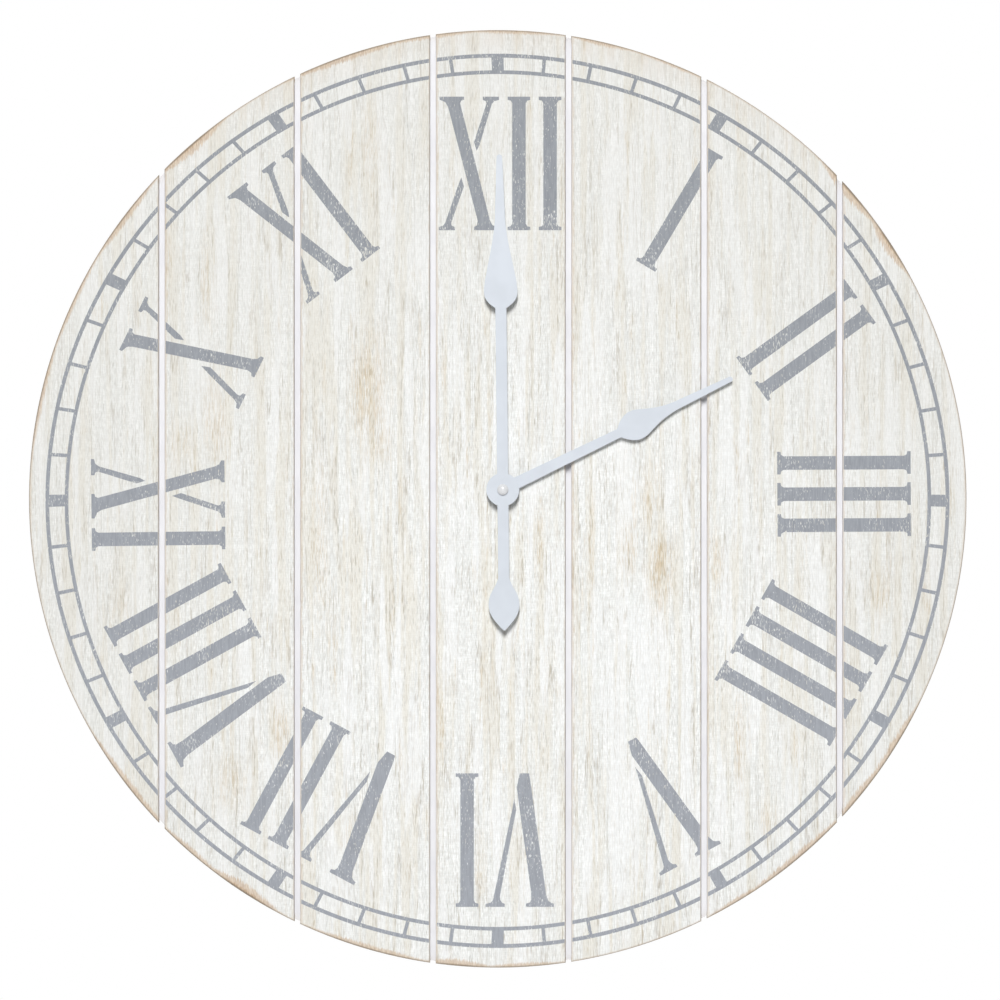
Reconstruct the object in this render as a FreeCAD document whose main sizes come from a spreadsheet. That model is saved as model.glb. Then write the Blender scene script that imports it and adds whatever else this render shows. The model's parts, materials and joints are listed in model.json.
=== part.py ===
"""Round plank wall clock with a battery quartz movement, as a parametric document in millimetres.

Frame: the origin is the centre of the keyhole hanger's round entry, on the wall plane.
+X is to the viewer's right, +Z is up and -Y points at the viewer, so the wall is the plane y = 0.
Pieces of the dial are drawn about the dial's centre and pieces of the movement about the arbor
(x right, y back from the movement's front face, z up). Each sub-part's Placement puts it in place.
"""
import FreeCAD, Part
import math
import os

import Sketcher
from FreeCAD import Placement, Rotation, Vector

DIMENSIONS = (
    # Dial: seven planks on a round board, with two battens behind it
    ("dial_radius", 381.0), ("plank_thick", 6.0), ("plank_pitch", 110.2), ("plank_gap", 4.6),
    ("plank_shift", 2.4), ("board_thick", 8.0), ("board_inset", 1.5), ("batten_deep", 20.0),
    ("batten_tall", 60.0), ("batten_half", 305.0), ("hang_drop", 180.0), ("shaft_hole", 5.0),
    # Keyhole hanger, let into the upper batten
    ("hanger_thick", 1.5), ("hanger_radius", 24.0), ("entry_radius", 4.5), ("slot_half", 2.4),
    ("slot_rise", 9.0), ("nail_depth", 12.0), ("nail_bore", 15.0), ("hanger_screw_out", 19.0),
    # Arbor, and the movement's front face and case
    ("arbor_right", 4.1), ("arbor_up", 7.5), ("movement_front", -19.0), ("case_half", 28.0),
    ("case_top", 26.0), ("case_bottom", -30.0), ("case_deep", 16.0), ("case_wall", 1.2),
    ("bay_top", -12.9), ("bay_wall", 1.0), ("cover_front", 12.6), ("cover_skin", 1.2),
    # Train: one centre distance, and a shorter one for the rotor
    ("train_distance", 10.8), ("rotor_distance", 8.75), ("minute_wheel_angle", 25.0),
    ("setting_angle", 70.0), ("third_angle", 155.0), ("fifth_angle", 92.0), ("rotor_angle", 130.0),
    ("arbor_radius", 0.5), ("running_gap", 0.05), ("minute_shaft", 1.6), ("hour_pipe", 2.5),
    ("setting_shaft", 1.2), ("bridge_front", 11.2), ("bridge_thick", 1.2), ("wheel_thick", 0.6),
    # Fixing of the movement through the dial
    ("bushing_radius", 4.0), ("bushing_end", -38.0), ("gasket_radius", 12.0), ("gasket_thick", 1.0),
    ("washer_radius", 9.0), ("washer_thick", 0.8), ("nut_flats", 12.0), ("nut_thick", 2.4),
    # Hands
    ("hour_angle", 64.1), ("minute_angle", -0.6), ("hub_radius", 13.4), ("hour_sheet", 1.0),
    ("hour_back", -39.0), ("minute_sheet", 0.8), ("minute_back", -43.6), ("cap_radius", 4.55),
    ("cap_front", -48.0),
    # AA cell
    ("cell_radius", 7.25), ("cell_half", 25.25), ("cell_depth", 8.75), ("cell_level", -20.85),
    ("cell_nub", 1.7), ("cell_nub_radius", 2.75),
)

PLANKS = 7
FACE_ON = Rotation(Vector(1, 0, 0), -90)    # turns a primitive's own Z axis to +Y
SIDEWAYS = Rotation(Vector(0, 1, 0), 90)    # turns a primitive's own Z axis to +X

DOC = FreeCAD.newDocument("plank_wall_clock")
SHEET = DOC.addObject("Spreadsheet::Sheet", "dims")
SUB_PARTS = []


def fill_sheet():
    for row, (alias, value) in enumerate(DIMENSIONS, start=1):
        SHEET.set(f"A{row}", alias)
        SHEET.set(f"B{row}", str(value))
        SHEET.setAlias(f"B{row}", alias)
    DOC.recompute()


def dim(alias):
    return float(SHEET.get(alias))


# ---------------------------------------------------------------- helpers

def bind(piece, **expressions):
    for name, expression in expressions.items():
        piece.setExpression(name, expression)


def put(piece, x="0", y="0", z="0"):
    bind(piece, **{"Placement.Base.x": x, "Placement.Base.y": y, "Placement.Base.z": z})
    return piece


def at_dial(piece):
    """Puts a piece drawn about the dial's centre in place."""
    return put(piece, z="-dims.hang_drop")


def at_arbor(piece, front="dims.movement_front"):
    """Puts a piece drawn about the arbor in place."""
    return put(piece, "dims.arbor_right", front, "dims.arbor_up - dims.hang_drop")


def sub_part(piece, label):
    """Names a finished piece after its node."""
    piece.Label = label
    SUB_PARTS.append(piece)
    return piece


def box(name, x, y, z):
    """A box from three (low, high) pairs of expressions."""
    piece = DOC.addObject("Part::Box", name)
    bind(piece, Length=f"({x[1]}) - ({x[0]})", Width=f"({y[1]}) - ({y[0]})",
         Height=f"({z[1]}) - ({z[0]})")
    return put(piece, x[0], y[0], z[0])


def rod(name, radius, y, x="0", z="0"):
    """A cylinder along +Y between a (low, high) pair of expressions."""
    piece = DOC.addObject("Part::Cylinder", name)
    piece.Placement = Placement(Vector(), FACE_ON)
    bind(piece, Radius=radius, Height=f"({y[1]}) - ({y[0]})")
    return put(piece, x, y[0], z)


def bar(name, radius, x, y="0", z="0"):
    """A cylinder along +X between a (low, high) pair of expressions."""
    piece = DOC.addObject("Part::Cylinder", name)
    piece.Placement = Placement(Vector(), SIDEWAYS)
    bind(piece, Radius=radius, Height=f"({x[1]}) - ({x[0]})")
    return put(piece, x[0], y, z)


def cut(name, base, *tools):
    piece = DOC.addObject("Part::Cut", name)
    piece.Base = base
    piece.Tool = tools[0] if len(tools) == 1 else fuse(name + "_tools", *tools)
    return piece


def fuse(name, *shapes):
    piece = DOC.addObject("Part::MultiFuse", name)
    piece.Shapes = list(shapes)
    return piece


def tube(name, radius, bore, y, x="0", z="0"):
    """A ring or tube along +Y."""
    through = (f"({y[0]}) - 1", f"({y[1]}) + 1")
    return cut(name, rod(name + "_outside", radius, y, x, z), rod(name + "_bore", bore, through, x, z))


def feature(name, shape):
    """A piece whose shape is worked out from the sheet in this file's own code."""
    piece = DOC.addObject("Part::Feature", name)
    piece.Shape = shape
    return piece


def new_body(name):
    return DOC.addObject("PartDesign::Body", name)


def face_sketch(body, name, depth):
    """A sketch facing the viewer, on the plane y = depth of its body (x right, y of the sketch up)."""
    sketch = body.newObject("Sketcher::SketchObject", name)
    plane = next(item for item in body.Origin.OriginFeatures if item.Role == "XZ_Plane")
    sketch.AttachmentSupport = [(plane, "")]
    sketch.MapMode = "FlatFace"
    sketch.setExpression("AttachmentOffset.Base.z", f"-({depth})")
    return sketch


def pad_back(body, sketch, thickness):
    """Pads a face sketch away from the viewer."""
    pad = body.newObject("PartDesign::Pad", sketch.Name + "_pad")
    pad.Profile = sketch
    pad.Reversed = True
    pad.setExpression("Length", thickness)
    DOC.recompute()
    return pad


def pad_circle(body, name, radius, y, x=0.0, z=0.0):
    """Pads a circle between a (low, high) pair of depths, with its radius bound to the sheet."""
    sketch = face_sketch(body, name, y[0])
    sketch.addGeometry(Part.Circle(Vector(x, z, 0), Vector(0, 0, 1), 1.0))
    sketch.addConstraint(Sketcher.Constraint("Radius", 0, 1.0))
    sketch.setExpression("Constraints[0]", radius)
    return pad_back(body, sketch, f"({y[1]}) - ({y[0]})")


def pocket_circle(body, name, radius, y):
    """Cuts a round hole between a (low, high) pair of depths, and checks that it removed something."""
    before = body.Shape.Volume
    sketch = face_sketch(body, name, y[0])
    sketch.addGeometry(Part.Circle(Vector(), Vector(0, 0, 1), 1.0))
    sketch.addConstraint(Sketcher.Constraint("Radius", 0, 1.0))
    sketch.setExpression("Constraints[0]", radius)
    pocket = body.newObject("PartDesign::Pocket", sketch.Name + "_pocket")
    pocket.Profile = sketch
    pocket.setExpression("Length", f"({y[1]}) - ({y[0]})")
    DOC.recompute()
    if body.Shape.Volume > before - 1e-3:
        raise ValueError(f"{name} cuts nothing")
    return pocket


def polar(distance, degrees):
    angle = math.radians(degrees)
    return Vector(distance * math.cos(angle), 0, distance * math.sin(angle))


# ---------------------------------------------------------------- fasteners

def screw_profile(head, shank, length, grow):
    """Half section of a countersunk wood screw along +Z, grown by a clearance for its hole."""
    slope = head - shank
    return [Vector(0, 0, 0), Vector(head + grow, 0, 0), Vector(shank + grow, 0, slope),
            Vector(shank + grow, 0, length - 2 * shank), Vector(0, 0, length + grow), Vector(0, 0, 0)]


def wood_screw(head, shank, length, grow=0.0):
    """A countersunk screw whose head lies at the origin and whose point is towards -Y."""
    profile = Part.Face(Part.makePolygon(screw_profile(head, shank, length, grow)))
    screw = profile.revolve(Vector(), Vector(0, 0, 1), 360)
    if grow == 0.0:
        arm = head * 1.2
        for turn in (0, 90):
            slot = Part.makeBox(arm, 0.25 * head, 0.5 * head, Vector(-arm / 2, -0.125 * head, 0))
            slot.rotate(Vector(), Vector(0, 0, 1), turn)
            screw = screw.cut(slot)
    screw.rotate(Vector(), Vector(1, 0, 0), 90)
    return screw


def screw_set(places, head, shank, length, grow=0.0):
    """Copies of one screw, one at each place, as separate solids."""
    one = wood_screw(head, shank, length, grow)
    return [one.translated(place) for place in places]


PLANK_SCREW = (3.2, 1.5, 11.5)
BATTEN_SCREW = (4.0, 2.0, 30.0)
HANGER_SCREW = (2.8, 1.4, 14.0)
SCREW_CLEARANCE = 0.05
HEAD_SINK = 0.3


def gap_centre(number):
    """X of the middle of the gap on the right of plank `number`."""
    return dim("plank_shift") + (number - PLANKS / 2) * dim("plank_pitch")


def plank_screw_places():
    """Four screws a plank, through the back of the board; the outer planks are short."""
    back = dim("movement_front") - dim("gasket_thick")
    places = []
    for number in range(1, PLANKS + 1):
        outer = number in (1, PLANKS)
        x = gap_centre(number) - dim("plank_pitch") / 2
        x = math.copysign(330.0, x) if outer else x
        heights = (120.0, 40.0) if outer else (275.0, 95.0)
        places += [Vector(x, back, side * height) for height in heights for side in (-1, 1)]
    return places


def batten_screw_places():
    """Four screws a batten, each into a plank."""
    level = dim("hang_drop")
    return [Vector(x, -HEAD_SINK, side * level)
            for side in (-1, 1) for x in (-230.0, -110.0, 110.0, 230.0)]


def hanger_screw_places():
    return [Vector(side * dim("hanger_screw_out"), 0, dim("hang_drop")) for side in (-1, 1)]


def add_wood_screws():
    """The three groups of wood screws, and one tool with all their holes."""
    groups = (("plank_screws", plank_screw_places(), PLANK_SCREW),
              ("batten_screws", batten_screw_places(), BATTEN_SCREW),
              ("hanger_screws", hanger_screw_places(), HANGER_SCREW))
    holes = []
    for name, places, size in groups:
        group = feature(name, Part.makeCompound(screw_set(places, *size)))
        sub_part(at_dial(group), name)
        holes += screw_set(places, *size, SCREW_CLEARANCE)
        if name != "plank_screws":
            rim = size[0] + SCREW_CLEARANCE
            holes += [Part.makeCylinder(rim, 1.0, place, Vector(0, 1, 0)) for place in places]
    return feature("wood_screw_holes", Part.makeCompound(holes))


# ---------------------------------------------------------------- dial

ON_ARBOR = ("dims.arbor_right", "dims.arbor_up")


def add_planks(screw_holes):
    board_front = "-dims.batten_deep - dims.board_thick"
    depth = (board_front + " - dims.plank_thick", board_front)
    for number in range(1, PLANKS + 1):
        name = f"plank_{number}"
        left = f"dims.plank_shift + {number - 1 - PLANKS / 2} * dims.plank_pitch + dims.plank_gap / 2"
        right = f"dims.plank_shift + {number - PLANKS / 2} * dims.plank_pitch - dims.plank_gap / 2"
        left = "-dims.dial_radius - 5" if number == 1 else left
        right = "dims.dial_radius + 5" if number == PLANKS else right
        tall = ("-dims.dial_radius - 5", "dims.dial_radius + 5")
        strip = box(name + "_strip", (left, right), depth, tall)
        outline = rod(name + "_outline", "dims.dial_radius", depth)
        board = DOC.addObject("Part::Common", name + "_sawn")
        board.Base = outline
        board.Tool = strip
        tools = [screw_holes]
        if number == (PLANKS + 1) // 2:
            hole = ("-dims.batten_deep - dims.board_thick - 20", "0")
            tools.append(rod("plank_shaft_hole", "dims.shaft_hole", hole, *ON_ARBOR))
        sub_part(at_dial(cut(name, board, *tools)), name)


def add_backing_board(screw_holes):
    depth = ("-dims.batten_deep - dims.board_thick", "-dims.batten_deep")
    disc = rod("board_disc", "dims.dial_radius - dims.board_inset", depth)
    hole = rod("board_shaft_hole", "dims.shaft_hole", ("-40", "0"), *ON_ARBOR)
    sub_part(at_dial(cut("backing_board", disc, hole, screw_holes)), "backing_board")


def add_battens(screw_holes):
    width = ("-dims.batten_half", "dims.batten_half")
    depth = ("-dims.batten_deep", "0")
    for name, level in (("upper_batten", "dims.hang_drop"), ("lower_batten", "-dims.hang_drop")):
        height = (f"{level} - dims.batten_tall / 2", f"{level} + dims.batten_tall / 2")
        plain = box(name + "_plain", width, depth, height)
        tools = [screw_holes]
        if name == "upper_batten":
            tools += hanger_recess()
        sub_part(at_dial(cut(name, plain, *tools)), name)


def hanger_recess():
    """The shallow round seat of the hanger plate and the deeper bore for the nail's head."""
    level = "dims.hang_drop"
    seat = rod("hanger_seat", "dims.hanger_radius + 0.1", ("-dims.hanger_thick", "1"), z=level)
    room = rod("nail_room", "dims.nail_bore", ("-dims.nail_depth", "1"), z=level)
    return [seat, room]


def keyhole_outline():
    """Round entry with a narrower slot above it, as one closed outline."""
    entry = dim("entry_radius")
    half = dim("slot_half")
    rise = dim("slot_rise")
    neck = math.sqrt(entry ** 2 - half ** 2)
    left, right = Vector(-half, neck, 0), Vector(half, neck, 0)
    left_top, right_top = Vector(-half, rise, 0), Vector(half, rise, 0)
    return [Part.Arc(left, Vector(0, -entry, 0), right), Part.LineSegment(right, right_top),
            Part.Arc(right_top, Vector(0, rise + half, 0), left_top), Part.LineSegment(left_top, left)]


def add_keyhole_hanger(screw_holes):
    body = new_body("hanger_plate")
    sketch = face_sketch(body, "hanger_outline", "-dims.hanger_thick")
    sketch.addGeometry(Part.Circle(Vector(), Vector(0, 0, 1), 1.0))
    sketch.addConstraint(Sketcher.Constraint("Radius", 0, 1.0))
    sketch.setExpression("Constraints[0]", "dims.hanger_radius")
    sketch.addGeometry(keyhole_outline())
    pad_back(body, sketch, "dims.hanger_thick")
    holes = DOC.addObject("Part::Feature", "hanger_screw_holes")
    holes.Shape = screw_holes.Shape
    put(holes, z="-dims.hang_drop")
    sub_part(cut("keyhole_hanger", body, holes), "keyhole_hanger")


# ---------------------------------------------------------------- toothed wheels

ADDENDUM = 0.72
DEDENDUM = 1.10
ROOT_WIDTH = 0.56      # tooth widths, as parts of the circular pitch
PITCH_WIDTH = 0.40
TIP_WIDTH = 0.16


def tooth_outline(teeth, module, phase_degrees):
    """Closed outline of a toothed wheel, as lines, with one tooth's middle at the phase angle."""
    pitch = 2 * math.pi / teeth
    radius = teeth * module / 2
    levels = ((radius - DEDENDUM * module, ROOT_WIDTH), (radius, PITCH_WIDTH),
              (radius + ADDENDUM * module, TIP_WIDTH))
    corners = []
    for index in range(teeth):
        middle = math.radians(phase_degrees) + index * pitch
        rising = [(reach, middle - width * pitch / 2) for reach, width in levels]
        falling = [(reach, middle + width * pitch / 2) for reach, width in reversed(levels)]
        corners += [Vector(reach * math.cos(angle), reach * math.sin(angle), 0)
                    for reach, angle in rising + falling]
    return [Part.LineSegment(start, end) for start, end in zip(corners, corners[1:] + corners[:1])]


def mesh_phase(direction, teeth, phase, mate_teeth):
    """Phase angle of a mate that lies in `direction` from a wheel, so that their teeth interlock."""
    turns = (direction - phase) * teeth / 360.0
    return direction + 180.0 - (0.5 - turns) * 360.0 / mate_teeth


def pad_teeth(body, name, teeth, module, phase, y):
    sketch = face_sketch(body, name, y[0])
    sketch.addGeometry(tooth_outline(teeth, module, phase))
    return pad_back(body, sketch, f"({y[1]}) - ({y[0]})")


def train_centres():
    """Centres of the arbors that stand beside the minute arbor, and the direction each mesh faces."""
    reach = dim("train_distance")
    minute = polar(reach, dim("minute_wheel_angle"))
    fifth = polar(reach, dim("fifth_angle"))
    return {"minute": minute, "setting": minute + polar(reach, dim("setting_angle")),
            "third": polar(reach, dim("third_angle")), "fifth": fifth,
            "rotor": fifth + polar(dim("rotor_distance"), dim("rotor_angle"))}


def train_module(teeth, mate_teeth, distance="train_distance"):
    """Module that makes two wheels mesh at the given centre distance."""
    return 2 * dim(distance) / (teeth + mate_teeth)


def at_centre(body, centre):
    """Puts a wheel drawn about its own arbor in place on the movement."""
    return put(body, f"dims.arbor_right + {centre.x:.6f}", "dims.movement_front",
               f"dims.arbor_up - dims.hang_drop + {centre.z:.6f}")


def add_motion_work(centres):
    """Minute arbor with its pinion, hour wheel and pipe, minute wheel and setting arbor."""
    motion = train_module(12, 36)
    hours = train_module(10, 40)
    wheel_phase = mesh_phase(dim("minute_wheel_angle"), 12, 0.0, 36)
    hour_phase = mesh_phase(dim("minute_wheel_angle") + 180.0, 10, 0.0, 40)
    setting_phase = mesh_phase(dim("setting_angle"), 36, wheel_phase, 12)

    arbor = new_body("minute_arbor")
    pad_circle(arbor, "minute_shaft", "dims.minute_shaft", ("-27.2", "6.2"))
    pad_teeth(arbor, "cannon_teeth", 12, motion, 0.0, ("3.2", "4.4"))
    pocket_circle(arbor, "fourth_seat", "dims.arbor_radius + 2 * dims.running_gap", ("1.8", "6.3"))
    sub_part(at_arbor(arbor), "minute_arbor")

    hour = new_body("hour_wheel")
    pad_circle(hour, "hour_pipe", "dims.hour_pipe", ("-22.6", "2.8"))
    pad_teeth(hour, "hour_teeth", 40, hours, hour_phase, ("1.6", "2.8"))
    pocket_circle(hour, "hour_bore", "dims.minute_shaft + dims.running_gap", ("-23", "3"))
    sub_part(at_arbor(hour), "hour_wheel")

    minute = new_body("minute_wheel")
    pad_teeth(minute, "minute_pinion_teeth", 10, hours, 0.0, ("1.6", "3.2"))
    pad_teeth(minute, "minute_wheel_teeth", 36, motion, wheel_phase, ("3.2", "4.2"))
    pocket_circle(minute, "minute_wheel_bore", "0.8 + dims.running_gap", ("1.5", "4.5"))
    sub_part(at_centre(minute, centres["minute"]), "minute_wheel")

    setting = new_body("setting_arbor")
    pad_circle(setting, "setting_shaft", "dims.setting_shaft", ("0.5", "17.6"))
    pad_teeth(setting, "setting_teeth", 12, motion, setting_phase, ("3.2", "4.2"))
    sub_part(at_centre(setting, centres["setting"]), "setting_arbor")

    knob = new_body("setting_knob")
    pad_teeth(knob, "knob_grip", 30, 0.33, 0.0, ("16.2", "18.6"))
    pocket_circle(knob, "knob_bore", "dims.setting_shaft", ("16.1", "17.6"))
    sub_part(at_centre(knob, centres["setting"]), "setting_knob")


def add_going_train(centres):
    """Centre, third, fourth and fifth wheels and the rotor, from the minute arbor back."""
    centre_module = train_module(60, 8)
    third_module = train_module(64, 8)
    fourth_module = train_module(60, 12)
    rotor_module = train_module(60, 10, "rotor_distance")
    third_pinion_phase = mesh_phase(dim("third_angle"), 60, 0.0, 8)
    fourth_pinion_phase = mesh_phase(dim("third_angle") + 180.0, 64, 0.0, 8)
    fifth_pinion_phase = mesh_phase(dim("fifth_angle"), 60, 0.0, 12)
    rotor_phase = mesh_phase(dim("rotor_angle"), 60, 0.0, 10)

    centre = new_body("centre_wheel")
    pad_teeth(centre, "centre_teeth", 60, centre_module, 0.0, ("5", "5.8"))
    pocket_circle(centre, "centre_bore", "dims.minute_shaft", ("4.9", "5.9"))
    sub_part(at_arbor(centre), "centre_wheel")

    third = new_body("third_wheel")
    pad_circle(third, "third_arbor", "dims.arbor_radius", ("0.5", "12"))
    pad_teeth(third, "third_pinion_teeth", 8, centre_module, third_pinion_phase, ("4.9", "6.6"))
    pad_teeth(third, "third_teeth", 64, third_module, 0.0, ("6.6", "6.6 + dims.wheel_thick"))
    sub_part(at_centre(third, centres["third"]), "third_wheel")

    fourth = new_body("fourth_wheel")
    pad_circle(fourth, "fourth_arbor", "dims.arbor_radius", ("2.2", "12"))
    pad_teeth(fourth, "fourth_pinion_teeth", 8, third_module, fourth_pinion_phase, ("6.4", "8.4"))
    pad_teeth(fourth, "fourth_teeth", 60, fourth_module, 0.0, ("8.4", "8.4 + dims.wheel_thick"))
    sub_part(at_arbor(fourth), "fourth_wheel")

    fifth = new_body("fifth_wheel")
    pad_circle(fifth, "fifth_arbor", "dims.arbor_radius", ("0.5", "12"))
    pad_teeth(fifth, "fifth_pinion_teeth", 12, fourth_module, fifth_pinion_phase, ("8.2", "9.8"))
    pad_teeth(fifth, "fifth_teeth", 60, rotor_module, 0.0, ("9.8", "9.8 + dims.wheel_thick"))
    sub_part(at_centre(fifth, centres["fifth"]), "fifth_wheel")

    rotor = new_body("rotor_pinion")
    pad_circle(rotor, "rotor_arbor", "dims.arbor_radius", ("0.5", "12"))
    pad_circle(rotor, "rotor_hub", "1", ("7.2", "9.6"))
    pad_teeth(rotor, "rotor_teeth", 10, rotor_module, rotor_phase, ("9.6", "10.6"))
    sub_part(at_centre(rotor, centres["rotor"]), "rotor_pinion")

    magnet = tube("rotor_magnet", "3", "1", ("7.4", "9.2"))
    sub_part(at_centre(magnet, centres["rotor"]), "rotor_magnet")


# ---------------------------------------------------------------- movement case

BRIDGE_POSTS = ((20.5, 21.5), (20.5, -7.5), (-12.0, -7.5), (2.5, 22.0))
STATOR_POSTS = ((-23.4, 21.35), (-23.4, -3.7))
BOARD_POSTS = ((-24.4, -9.6), (-16.6, -8.5))


def post_set(name, places, radius, y):
    return [rod(f"{name}_{number}", radius, y, str(x), str(z))
            for number, (x, z) in enumerate(places, start=1)]


def pivot_holes(name, centres, y):
    """Running holes for the arbors, between a (low, high) pair of depths."""
    holes = []
    for arbor, centre in centres.items():
        if arbor == "minute":
            continue
        radius = "dims.setting_shaft" if arbor == "setting" else "dims.arbor_radius"
        radius += " + dims.running_gap"
        holes.append(rod(f"{name}_{arbor}", radius, y, str(centre.x), str(centre.z)))
    return holes


def add_movement_housing(centres):
    inner = ("-dims.case_half + dims.case_wall", "dims.case_half - dims.case_wall")
    open_back = ("dims.case_wall", "dims.case_deep + 1")
    block = box("housing_block", ("-dims.case_half", "dims.case_half"), ("0", "dims.case_deep"),
                ("dims.case_bottom", "dims.case_top"))
    train_room = box("train_room", inner, open_back,
                     ("dims.bay_top + dims.bay_wall", "dims.case_top - dims.case_wall"))
    battery_bay = box("battery_bay", inner, open_back,
                      ("dims.case_bottom + dims.case_wall", "dims.bay_top"))
    bay_wall = ("dims.bay_top - 1", "dims.bay_top + 2")
    contact_slots = [box(f"contact_slot_{side}", edges, ("8.2", "9.2"), bay_wall)
                     for side, edges in (("left", ("-26.8", "-26.2")), ("right", ("26.2", "26.8")))]
    shell = cut("housing_shell", block, train_room, battery_bay, *contact_slots)
    minute = centres["minute"]
    posts = [rod("minute_wheel_post", "0.8", ("1", "4.5"), str(minute.x), str(minute.z))]
    posts += post_set("bridge_post", BRIDGE_POSTS, "1.3", ("1", "dims.bridge_front"))
    posts += post_set("stator_post", STATOR_POSTS, "1", ("1", "8"))
    posts += post_set("board_ledge", BOARD_POSTS, "1.5", ("1", "9"))
    posts += post_set("board_post", BOARD_POSTS, "0.9", ("1", "10.3"))
    solid = fuse("housing_with_posts", shell, *posts)
    holes = [rod("bushing_hole", "dims.bushing_radius", ("-1", "2")),
             rod("flange_seat", "6.5", ("0.6", "1.3"))]
    holes += pivot_holes("floor_pivot", centres, ("0.4", "1.3"))
    holes += post_set("bridge_screw_hole", BRIDGE_POSTS, "0.45", ("8", "12"))
    holes += post_set("stator_screw_hole", STATOR_POSTS, "0.45", ("5.5", "9"))
    sub_part(at_arbor(cut("movement_housing", solid, *holes)), "movement_housing")


def add_back_cover(centres):
    """Lid over the train room with a skirt inside the case walls; the battery bay stays open."""
    sides = ("-dims.case_half + dims.case_wall + 0.1", "dims.case_half - dims.case_wall - 0.1")
    height = ("dims.bay_top + dims.bay_wall + 0.1", "dims.case_top - dims.case_wall - 0.1")
    lid = box("cover_block", sides, ("dims.cover_front", "dims.case_deep"), height)
    room = box("cover_room", (sides[0] + " + 1", sides[1] + " - 1"),
               ("dims.cover_front - 1", "dims.case_deep - dims.cover_skin"),
               (height[0] + " + 1", height[1] + " - 1"))
    setting = centres["setting"]
    hole = rod("knob_hole", "dims.setting_shaft + 3 * dims.running_gap", ("10", "20"),
               str(setting.x), str(setting.z))
    sub_part(at_arbor(cut("movement_back_cover", lid, room, hole)), "movement_back_cover")


def add_train_bridge(centres):
    depth = ("dims.bridge_front", "dims.bridge_front + dims.bridge_thick")
    plate = box("bridge_plate", ("-14", "22"), depth, ("-9", "23.5"))
    holes = pivot_holes("bridge_pivot", centres, ("11", "13"))
    holes.append(rod("bridge_pivot_fourth", "dims.arbor_radius + dims.running_gap", ("11", "13")))
    holes += post_set("bridge_screw_clearance", BRIDGE_POSTS, "0.5", ("11", "13"))
    sub_part(at_arbor(cut("train_bridge", plate, *holes)), "train_bridge")


def machine_screws(name, places, shank, head, y):
    """Small round-headed screws along -Y: shank from y[0] to y[1] and head behind it."""
    solids = []
    for x, z in places:
        body = Part.makeCylinder(shank, y[1] - y[0], Vector(x, y[0], z), Vector(0, 1, 0))
        top = Part.makeCylinder(head, 0.7, Vector(x, y[1], z), Vector(0, 1, 0))
        slot = Part.makeBox(2 * head + 1, 0.3, 0.3, Vector(x - head - 0.5, y[1] + 0.45, z - 0.15))
        solids.append(body.fuse(top).cut(slot))
    sub_part(at_arbor(feature(name, Part.makeCompound(solids))), name)


# ---------------------------------------------------------------- electric drive

def polygon_body(name, corners, y):
    """A flat piece padded from a closed outline of (x, z) corners."""
    body = new_body(name)
    sketch = face_sketch(body, name + "_outline", y[0])
    points = [Vector(x, z, 0) for x, z in corners]
    for start, end in zip(points, points[1:] + points[:1]):
        sketch.addGeometry(Part.LineSegment(start, end))
    pad_back(body, sketch, f"({y[1]}) - ({y[0]})")
    return body


def add_stator(centres):
    """One laminated sheet: a ring round the rotor's magnet and an arm to each end of the core."""
    corners = ((-25.6, 22.3), (-1.5, 22.3), (-1.5, 13.4), (-10.5, 13.4), (-16.5, 2.5), (-16.5, -5.0),
               (-25.6, -5.0), (-25.6, -2.4), (-19.9, -2.4), (-19.9, 3.3), (-13.5, 14.5), (-13.5, 20.4),
               (-25.6, 20.4))
    sheet = polygon_body("stator_sheet", corners, ("8", "9"))
    rotor = centres["rotor"]
    holes = [rod("rotor_hole", "3.5", ("7", "10"), str(rotor.x), str(rotor.z))]
    holes += post_set("stator_screw_clearance", STATOR_POSTS, "0.5", ("7", "10"))
    sub_part(at_arbor(cut("stator", sheet, *holes)), "stator")


def add_coil():
    """Core strip with its bobbin and copper winding, upright at the left of the case."""
    x, depth = "-23.4", "9.5"
    strip = box("core_strip", ("-24.9", "-21.9"), ("9", "10"), ("-4.9", "22.2"))
    holes = post_set("core_screw_clearance", STATOR_POSTS, "0.5", ("8", "11"))
    sub_part(at_arbor(cut("coil_core", strip, *holes)), "coil_core")

    def upright(name, radius, low, high):
        piece = DOC.addObject("Part::Cylinder", name)
        bind(piece, Radius=radius, Height=f"({high}) - ({low})")
        return put(piece, x, depth, low)

    spool = fuse("spool", upright("spool_barrel", "1.9", "-1.9", "19.9"),
                 upright("lower_flange", "3", "-1.9", "-1.1"), upright("upper_flange", "3", "19.1", "19.9"))
    passage = box("core_passage", ("-24.9", "-21.9"), ("9", "10"), ("-3", "21"))
    sub_part(at_arbor(cut("coil_bobbin", spool, passage)), "coil_bobbin")
    winding = cut("coil_winding", upright("winding_outside", "2.8", "-1.1", "19.1"),
                  upright("winding_inside", "1.9", "-2", "20"))
    sub_part(at_arbor(winding), "coil_winding")


def add_circuit():
    board = box("board_plain", ("-26", "-15"), ("9", "10"), ("-11.5", "-5.5"))
    holes = post_set("board_post_hole", BOARD_POSTS, "0.9 + dims.running_gap", ("8", "11"))
    sub_part(at_arbor(cut("circuit_board", board, *holes)), "circuit_board")
    chip = fuse("ic_chip", rod("chip_foot", "1.2", ("10", "10.4"), "-20.2", "-10"),
                rod("chip_crown", "0.9", ("10", "10.8"), "-20.2", "-10"))
    sub_part(at_arbor(chip), "ic_chip")
    crystal = fuse("quartz_crystal", bar("crystal_can", "0.95", ("-22.6", "-17.6"), "11", "-6.9"),
                   bar("crystal_end", "0.75", ("-22.9", "-17.3"), "11", "-6.9"))
    sub_part(at_arbor(crystal), "quartz_crystal")


# ---------------------------------------------------------------- battery and contacts

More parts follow.
